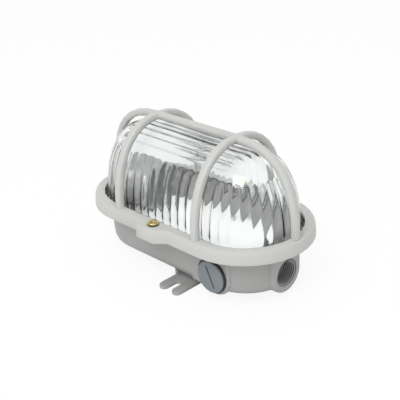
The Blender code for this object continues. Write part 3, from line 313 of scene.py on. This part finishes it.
# %% [markdown]
# ## Rubber, brass, steel, porcelain and enamel
#
# The small pieces each get their own finish: matt rubber for the seals, clouded brass and zinc for
# screws and sheets, a glaze for the porcelain lampholder and for the white enamelled reflector.
# Rubber is nearly black and rough. A metal is coloured by what it reflects, so its Metallic is 1.
# A glaze is a clear coat over the colour.

# %% Say what rubber, metal and a glaze are
RUBBER_GRAIN = 0.03 * MM
METAL_GRAIN = 0.01 * MM
GLAZE_WAVES = 0.2 * MM


def rubber(name):
    finish = Finish(name)
    fine = finish.noise(finish.spot(), scale=1800.0)
    finish.set(
        Base_Color=finish.mix(fine, (0.016, 0.016, 0.017), (0.03, 0.03, 0.032)),
        Roughness=fine * 0.15 + 0.6,
        Normal=finish.bump(fine, RUBBER_GRAIN),
    )
    return finish.material


def metal(name, colour, darker, roughness):
    finish = Finish(name)
    spot = finish.spot()
    clouds = finish.noise(spot, scale=300.0)
    fine = finish.noise(spot, scale=3500.0, detail=2.0)
    finish.set(
        Base_Color=finish.mix(clouds, colour, darker),
        Roughness=clouds * 0.15 + (roughness - 0.07),
        Metallic=1.0,
        Normal=finish.bump(fine, METAL_GRAIN),
    )
    return finish.material


def glazed(name, colour, darker, roughness):
    finish = Finish(name)
    broad = finish.noise(finish.spot(), scale=60.0, detail=2.0)
    finish.set(
        Base_Color=finish.mix(broad, colour, darker),
        Roughness=broad * 0.08 + roughness,
        Normal=finish.bump(broad, GLAZE_WAVES),
        Coat_Weight=0.3,
        Coat_Roughness=0.08,
    )
    return finish.material


# %% Make the other finishes
rubber_finish = rubber("black_rubber")
brass_finish = metal("brass", (0.66, 0.57, 0.27), (0.50, 0.42, 0.17), 0.28)
steel_finish = metal("plated_steel", (0.72, 0.73, 0.74), (0.58, 0.60, 0.63), 0.34)
porcelain_finish = glazed("porcelain", (0.33, 0.33, 0.325), (0.29, 0.29, 0.285), 0.15)
enamel_finish = glazed("white_enamel", (0.93, 0.93, 0.92), (0.90, 0.90, 0.89), 0.25)
print("There are", len(bpy.data.materials), "materials now")

# %% [markdown]
# ## Smooth copies of the rigid pieces
#
# The model comes as flat triangles. On a copy, points that lie in one place are merged, flat areas
# become single faces, sharp edges get a small round edge as a mould or a die gives, and the rest is
# shaded smooth. The copy then stands for the node. A Bevel modifier rounds every sharp edge alike,
# so the wider round edge on top of the base's slotted feet is made first, in edit mode, from edges
# that are chosen by their height and place.

# %% List which body each node belongs to
body_of = {}
for body, names in frame["record"]["behaviour"]["bodies"].items():
    for name in names:
        body_of[name] = body
print("The bodies are", sorted(set(body_of.values())))

# %% Round the feet
PRONG_TOP = 2.2 * MM
PRONG_ROUND = 0.8 * MM
PRONGS_START = 34.5 * MM


def round_prongs(base):
    """Rounds the upper edges of the slotted feet, which stand out past the base's wall."""
    bpy.ops.object.mode_set(mode="EDIT")
    bpy.ops.mesh.select_mode(type="EDGE")
    bpy.ops.mesh.select_all(action="DESELECT")
    bpy.ops.object.mode_set(mode="OBJECT")
    points = base.data.vertices
    chosen = 0
    for edge in base.data.edges:
        ends = [points[number].co for number in edge.vertices]
        on_top = all(abs(end.z - PRONG_TOP) < 0.01 * MM for end in ends)
        if on_top and all(abs(end.y) > PRONGS_START for end in ends):
            edge.select = True
            chosen += 1
    bpy.ops.object.mode_set(mode="EDIT")
    bpy.ops.mesh.bevel(offset=PRONG_ROUND, segments=3, profile=0.5, clamp_overlap=True)
    bpy.ops.object.mode_set(mode="OBJECT")
    print("Rounded", chosen, "edges of the feet")


# %% Copy, merge and round a node
SAME_PLACE = 0.005 * MM
FLAT_UNDER = math.radians(0.5)
ROUND_OVER = math.radians(40)
SMOOTH_UNDER = math.radians(32)


def smooth_copy(node, finish, edge):
    bpy.ops.object.select_all(action="DESELECT")
    frame["nodes"][node].select_set(True)
    bpy.context.view_layer.objects.active = frame["nodes"][node]
    bpy.ops.object.duplicate()
    copy = bpy.context.object
    copy.name = node + "_fine"
    copy.parent = None
    copy.matrix_world = Matrix.Identity(4)
    bpy.ops.object.mode_set(mode="EDIT")
    bpy.ops.mesh.select_all(action="SELECT")
    bpy.ops.mesh.remove_doubles(threshold=SAME_PLACE)
    bpy.ops.mesh.dissolve_limited(angle_limit=FLAT_UNDER)
    bpy.ops.object.mode_set(mode="OBJECT")
    if node == "base_housing":
        round_prongs(copy)
    if edge:
        step = copy.modifiers.new("round", "BEVEL")
        step.width = edge
        step.segments = 2
        step.limit_method = "ANGLE"
        step.angle_limit = ROUND_OVER
        bpy.ops.object.modifier_apply(modifier="round")
    bpy.ops.object.shade_smooth_by_angle(angle=SMOOTH_UNDER)
    copy.data.materials.clear()
    copy.data.materials.append(finish)
    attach(copy, body_of[node])
    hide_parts(node)
    print(copy.name, "has", len(copy.data.polygons), "faces")


# %% Copy the pieces that are seen best
for node, finish, slot, edge in (
    ("guard_cage", guard_finish, "guard_plastic", 0.3 * MM),
    ("base_housing", shaded_base_finish, "base_plastic", 0.25 * MM),
    ("entry_plug", plug_finish, "plug_plastic", 0.0),
    ("plug_seal", rubber_finish, "black_rubber", 0.0),
    ("globe_gasket", rubber_finish, "black_rubber", 0.0),
    ("guard_screw_front", brass_finish, "brass", 0.12 * MM),
    ("guard_screw_rear", brass_finish, "brass", 0.12 * MM),
    ("holder_body", porcelain_finish, "porcelain", 0.0),
    ("holder_shell", steel_finish, "plated_steel", 0.0),
):
    smooth_copy(node, finish, edge)

# %% [markdown]
# ## The thread of the open entry
#
# The bore in the end of the base is threaded for a cable gland. The turns could be painted on, but
# each ridge shades the next one and shows its profile at the mouth, so they are real. A thread is
# one triangle swept along a helix, and the Screw modifier does exactly that, round the X axis here.
# The triangle's broad side lies in the wall and its tip points at the axis. Its ends are closed
# with a face each.

# %% Draw the triangle
THREAD_PITCH = 1.5 * MM
THREAD_TURNS = 7
THREAD_START = 64.6 * MM
STEPS_A_TURN = 40

bpy.ops.object.select_all(action="DESELECT")
bpy.ops.mesh.primitive_circle_add(vertices=3, radius=THREAD_PITCH / 2)
thread = bpy.context.object
thread.name = "entry_thread"
tip = BORE_RADIUS - THREAD_HEIGHT
ridge = ((0.02, BORE_RADIUS), (0.98, BORE_RADIUS), (0.5, tip))
for point, (share, radius) in zip(thread.data.vertices, ridge):
    point.co = (THREAD_START + share * THREAD_PITCH, 0, radius)
print("The thread starts as", len(thread.data.vertices), "points")

# %% Sweep it along the helix
sweep = thread.modifiers.new("sweep", "SCREW")
sweep.axis = "X"
sweep.screw_offset = THREAD_PITCH
sweep.iterations = THREAD_TURNS
sweep.steps = sweep.render_steps = STEPS_A_TURN
sweep.use_merge_vertices = True
sweep.merge_threshold = SAME_PLACE
bpy.ops.object.modifier_apply(modifier="sweep")
bpy.ops.object.mode_set(mode="EDIT")
bpy.ops.mesh.select_all(action="SELECT")
bpy.ops.mesh.fill_holes(sides=3)
bpy.ops.mesh.normals_make_consistent(inside=False)
bpy.ops.transform.translate(value=(0, 0, ENTRY_HEIGHT))
bpy.ops.object.mode_set(mode="OBJECT")
bpy.ops.object.shade_smooth_by_angle(angle=SMOOTH_UNDER)
# The thread's colour has painted shade in its roots.
thread.data.materials.append(shaded_thread_finish)
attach(thread, body_of["base_housing"])
print("The thread has", len(thread.data.polygons), "faces")

# %% [markdown]
# ## The pieces that keep their own mesh
#
# What is hidden, or small and seen only through the ribbed glass, is right as it is. It needs just
# a finish.

# %% Give the remaining nodes their finishes
plain = {
    "screw_seal_front": rubber_finish,
    "screw_seal_rear": rubber_finish,
    "thread_insert_front": brass_finish,
    "thread_insert_rear": brass_finish,
    "centre_contact": steel_finish,
    "side_contact": steel_finish,
    "terminal_live": steel_finish,
    "terminal_neutral": steel_finish,
    "terminal_screw_live": steel_finish,
    "terminal_screw_neutral": steel_finish,
    "holder_bracket": steel_finish,
    "bracket_screw_front": steel_finish,
    "bracket_screw_rear": steel_finish,
    "holder_screw_lower": steel_finish,
    "holder_screw_upper": steel_finish,
    "reflector": enamel_finish,
    "reflector_screw_front": steel_finish,
    "reflector_screw_rear": steel_finish,
    "earth_plate": brass_finish,
    "earth_screw": brass_finish,
}
for node, finish in plain.items():
    node_object = frame["nodes"][node]
    node_object.data.materials.clear()
    node_object.data.materials.append(finish)
print(len(plain), "nodes keep their mesh")

# %% [markdown]
# ## The shape of the glass
#
# The glass is pressed: smooth outside, with upright flutes inside its wall and finer ribs along
# the inside of its crown. Each flute bulges into the light and ends in a round top. A UV sphere
# has just the right net of faces for it. Its rings become the levels of the glass, from the
# middle of the outer crown down the wall, round the flange and up the inner wall to the inner
# crown, and its columns become the eighths of each flute.

# %% Say where the points of the glass lie
FLUTES_ON_SIDE = 12
FLUTES_ON_END = 15
PER_FLUTE = 8
STRAIGHT = 42.8 * MM
OUTER_HALF = 34.9 * MM
INNER_HALF = 31.9 * MM
SQUARENESS = 2.42
GLASS_FOOT = 39.6 * MM
OUTER_RISE = 54.7 * MM
INNER_RISE = 51.7 * MM
FLUTE_DEPTH = 0.6 * MM
FLUTE_TOP = 23.0 * MM
FLUTE_CAP = 2.6 * MM
RIB_DEPTH = 0.8 * MM
RIB_PITCH = 4.8 * MM
RIBS_REACH = 19.2 * MM
RIB_FADE = 12.0 * MM
CROWN_HALVES = (0.4 * MM, 3 * MM, 6 * MM, 9 * MM)


def rise_at(half, widest, rise):
    """The height of the glass where its half width is this."""
    return GLASS_FOOT + rise * (1 - (half / widest) ** SQUARENESS) ** (1 / SQUARENESS)


def half_at(angle, widest):
    """The half width of the glass at an angle of its squarish arch."""
    return widest * math.cos(math.radians(angle)) ** (2 / SQUARENESS)


def spread(first, last, steps):
    return [first + (last - first) * step / steps for step in range(steps + 1)]


# %% List the levels, each with a half width and a height
outer_halves = list(CROWN_HALVES)
outer_halves += [half_at(angle, OUTER_HALF) for angle in spread(66, 9, 30)]
outer_levels = [(half, rise_at(half, OUTER_HALF, OUTER_RISE)) for half in outer_halves]
flange_levels = [
    (35.0 * MM, 43.3 * MM), (35.2 * MM, 42.5 * MM), (35.6 * MM, 42.1 * MM), (38.7 * MM, 42.1 * MM),
    (39.0 * MM, 41.8 * MM), (39.0 * MM, 39.9 * MM), (38.7 * MM, 39.6 * MM), (32.1 * MM, 39.6 * MM),
]
inner_halves = [half_at(angle, INNER_HALF) for angle in spread(2, 40, 26)]
inner_halves += spread(inner_halves[-1], RIBS_REACH, 12)[1:]
inner_halves += spread(RIBS_REACH, 0.3 * MM, 34)[1:]
inner_levels = [(half, rise_at(half, INNER_HALF, INNER_RISE)) for half in inner_halves]
levels = outer_levels + flange_levels + inner_levels
inner_starts = len(outer_levels) + len(flange_levels)
columns = 2 * (FLUTES_ON_SIDE + FLUTES_ON_END) * PER_FLUTE
print("The glass has", len(levels), "levels of", columns, "points")


# %% Say where each point goes
def glass_point(level, column):
    """The point of the glass on this level and column, with the flute or rib that it is on."""
    half, height = levels[level]
    turn, step = divmod(column, columns // 2)
    side_steps = FLUTES_ON_SIDE * PER_FLUTE
    if step < side_steps:
        x, y, out_x, out_y = STRAIGHT * (2 * step / side_steps - 1), -half, 0.0, -1.0
    else:
        angle = math.pi * ((step - side_steps) / (FLUTES_ON_END * PER_FLUTE) - 0.5)
        out_x, out_y = math.cos(angle), math.sin(angle)
        x, y = STRAIGHT + half * out_x, half * out_y
    if level >= inner_starts:
        across = 2 * (column % PER_FLUTE) / PER_FLUTE - 1
        cap = max(FLUTE_TOP + FLUTE_CAP - half, 0) / FLUTE_CAP
        bulge = FLUTE_DEPTH * max(1 - across**2 - cap**2, 0)
        x, y = x - out_x * bulge, y - out_y * bulge
        if abs(y) < RIBS_REACH and half < FLUTE_TOP:
            part = 2 * (abs(y) / RIB_PITCH % 1) - 1
            fade = min(max(abs(x) - STRAIGHT, 0) / RIB_FADE, 1)
            height -= RIB_DEPTH * (1 - part**2) * (1 - fade)
    return (x, y, height) if turn == 0 else (-x, -y, height)


# %% Make the glass from a UV sphere
bpy.ops.object.select_all(action="DESELECT")
bpy.ops.mesh.primitive_uv_sphere_add(segments=columns, ring_count=len(levels) + 1, radius=1.0)
glass = bpy.context.object
glass.name = "glass_fine"
crown = GLASS_FOOT + OUTER_RISE
under_crown = GLASS_FOOT + INNER_RISE - RIB_DEPTH
for point in glass.data.vertices:
    x, y, z = point.co
    level = round(math.acos(max(min(z, 1), -1)) / math.pi * (len(levels) + 1)) - 1
    if level < 0:
        point.co = (0, 0, crown)
    elif level >= len(levels):
        point.co = (0, 0, under_crown)
    else:
        column = round(math.atan2(y, x) / (2 * math.pi) * columns) % columns
        point.co = glass_point(level, column)
bpy.ops.object.shade_smooth_by_angle(angle=math.radians(50))
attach(glass, body_of["glass_globe"])
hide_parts("glass_globe")
print("The glass has", len(glass.data.polygons), "faces")

# %% [markdown]
# ## Clear glass
#
# Glass is a shader with full Transmission. Light from a lamp doesn't find its way through a bent
# wall of glass in a short render, so the inside would be dark. For the rays that look for shadow
# the glass is therefore just see-through, and a little grey.

# %% Give the glass its finish
finish = Finish("clear_glass")
finish.set(
    Base_Color=(0.97, 0.985, 0.985, 1.0),
    Roughness=0.02,
    Transmission_Weight=1.0,
    IOR=1.5,
)
shadow = finish.node("ShaderNodeLightPath").out("Is Shadow Ray")
finish.blend(shadow, "ShaderNodeBsdfTransparent", {"Color": (0.92, 0.92, 0.92, 1)})
glass.data.materials.clear()
glass.data.materials.append(finish.material)
print("The glass is", finish.material.name)

# %% [markdown]
# ## Floor and light
#
# The floor is a white card. It glows pale for the camera, and less for what is seen through the
# glass, but it still takes a trace of the shadow. The sky is bright above and dim below, so that
# upright faces are darker than level ones, and one soft square lamp in front and above puts the
# bright spot on the glass. Whatever looks past the light, or mirrors it, sees plain white.

# %% Make the floor
FLOOR_DROP = 0.2 * MM
FLOOR_GLOW = 0.9
GLOW_THROUGH_GLASS = 0.3

bpy.ops.mesh.primitive_plane_add(size=6.0, location=(0, 0, -FLOOR_DROP))
floor = bpy.context.object
floor.name = "floor"
finish = Finish("white_floor")
finish.set(Base_Color=(0.9, 0.9, 0.9, 1.0), Roughness=0.9)
rays = finish.node("ShaderNodeLightPath")
through_glass = rays.out("Is Transmission Ray") * GLOW_THROUGH_GLASS
seen = rays.out("Is Camera Ray").most(through_glass) * FLOOR_GLOW
finish.blend(seen, "ShaderNodeEmission", {"Color": (1, 1, 1, 1), "Strength": 1.0})
floor.data.materials.append(finish.material)
print("The floor is", floor.dimensions.x, "metres wide")

# %% Make the sky
SKY_BELOW = 0.26
SKY_ABOVE = 1.0

world = bpy.data.worlds.new("studio")
bpy.context.scene.world = world
world.use_nodes = True
nodes, links = world.node_tree.nodes, world.node_tree.links
nodes.clear()
rays = nodes.new("ShaderNodeLightPath")
plain_white = rays.outputs["Is Camera Ray"]
for kind in ("Is Glossy Ray", "Is Transmission Ray"):
    either = nodes.new("ShaderNodeMath")
    either.operation = "MAXIMUM"
    links.new(plain_white, either.inputs[0])
    links.new(rays.outputs[kind], either.inputs[1])
    plain_white = either.outputs[0]

spot = nodes.new("ShaderNodeTexCoord")
parts = nodes.new("ShaderNodeSeparateXYZ")
links.new(spot.outputs["Generated"], parts.inputs[0])
height = nodes.new("ShaderNodeMapRange")
height.inputs["From Min"].default_value = -0.2
height.inputs["From Max"].default_value = 0.9
height.inputs["To Min"].default_value = SKY_BELOW
height.inputs["To Max"].default_value = SKY_ABOVE
links.new(parts.outputs["Z"], height.inputs["Value"])

sky = nodes.new("ShaderNodeBackground")
white = nodes.new("ShaderNodeBackground")
for background in (sky, white):
    background.inputs["Color"].default_value = (1, 1, 1, 1)
    background.inputs["Strength"].default_value = 1.0
links.new(height.outputs[0], sky.inputs["Strength"])
both = nodes.new("ShaderNodeMixShader")
output = nodes.new("ShaderNodeOutputWorld")
links.new(plain_white, both.inputs[0])
links.new(sky.outputs[0], both.inputs[1])
links.new(white.outputs[0], both.inputs[2])
links.new(both.outputs[0], output.inputs[0])
print("The sky goes from", SKY_BELOW, "to", SKY_ABOVE)

# %% Hang the lamp
LAMP_PLACE = (0.25, -0.62, 0.76)
LAMP_WIDTH = 0.45
LAMP_HEIGHT = 0.4
LAMP_POWER = 4.5

bpy.ops.object.light_add(type="AREA", location=LAMP_PLACE)
lamp = bpy.context.object
lamp.name = "soft_lamp"
lamp.data.shape = "RECTANGLE"
lamp.data.size = LAMP_WIDTH
lamp.data.size_y = LAMP_HEIGHT
lamp.data.energy = LAMP_POWER
lamp.rotation_euler = (-lamp.location).to_track_quat("-Z", "Y").to_euler()
print("The lamp hangs", lamp.location.length, "metres away")

bpy.context.scene.view_settings.view_transform = "Standard"
